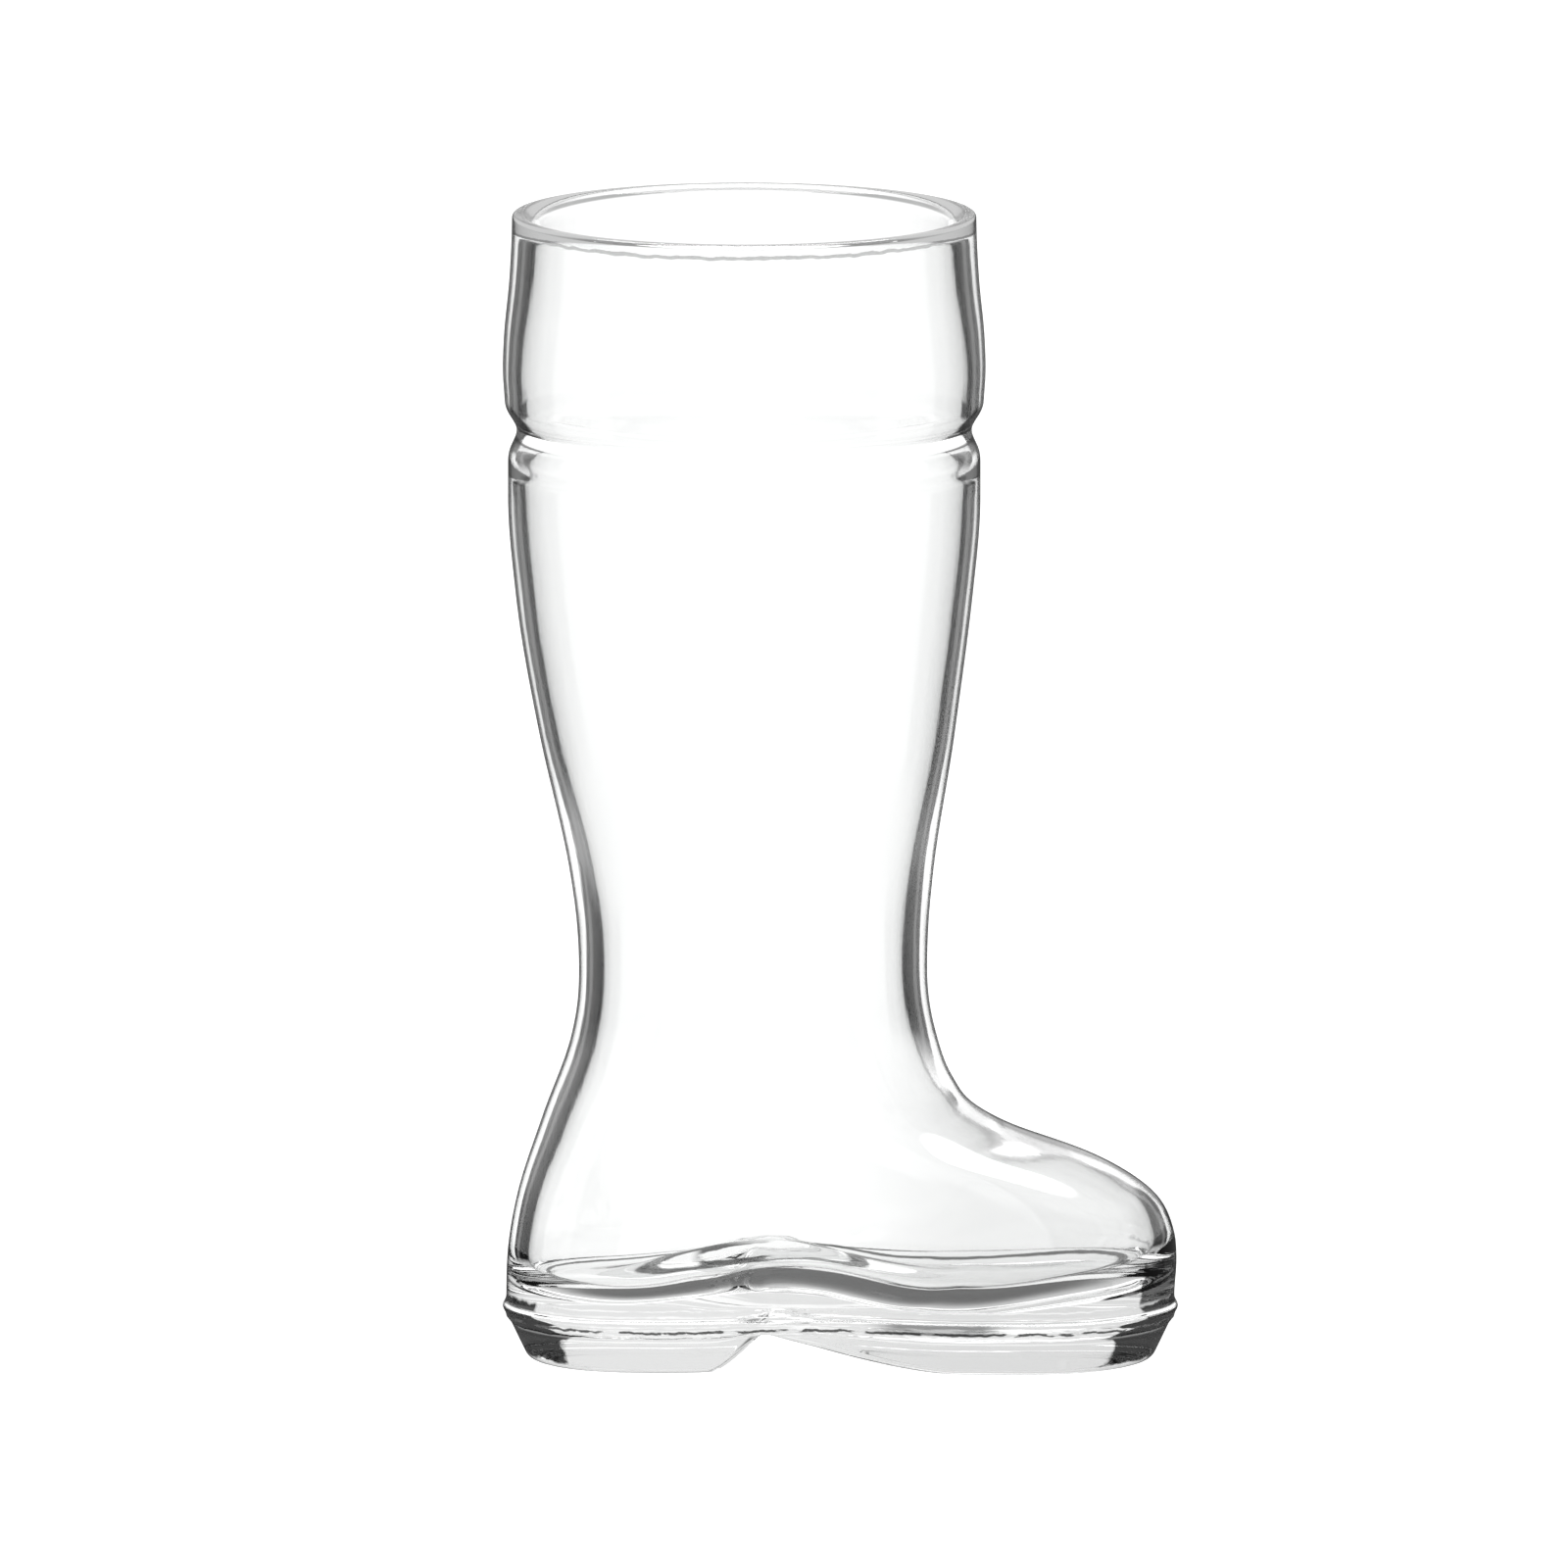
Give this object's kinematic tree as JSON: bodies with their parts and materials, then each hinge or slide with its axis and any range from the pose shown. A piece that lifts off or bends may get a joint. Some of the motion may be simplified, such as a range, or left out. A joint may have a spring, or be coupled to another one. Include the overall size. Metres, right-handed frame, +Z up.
{
  "type": "boot-shaped beer glass",
  "caption": "Tall clear drinking glass shaped as a boot: wide cuff with a pinched groove, tapering leg, rounded foot, raised welt line, thick floor, and a separate heel and tread under an arch.",
  "frame": {"origin": "middle of the boot's length and width, on the plane it stands on", "axes": "+Z up along the leg, +X towards the toe, Y across the foot"},
  "size_m": [0.1464, 0.1044, 0.25],
  "materials": {
    "clear_glass": "clear, fire polished"
  },
  "bodies": {
    "root": {"lip": "clear_glass", "cuff": "clear_glass", "groove": "clear_glass", "shaft": "clear_glass", "calf": "clear_glass", "ankle": "clear_glass", "vamp": "clear_glass", "footbed": "clear_glass", "welt": "clear_glass", "heel": "clear_glass", "tread": "clear_glass"}
  },
  "joints": []
}
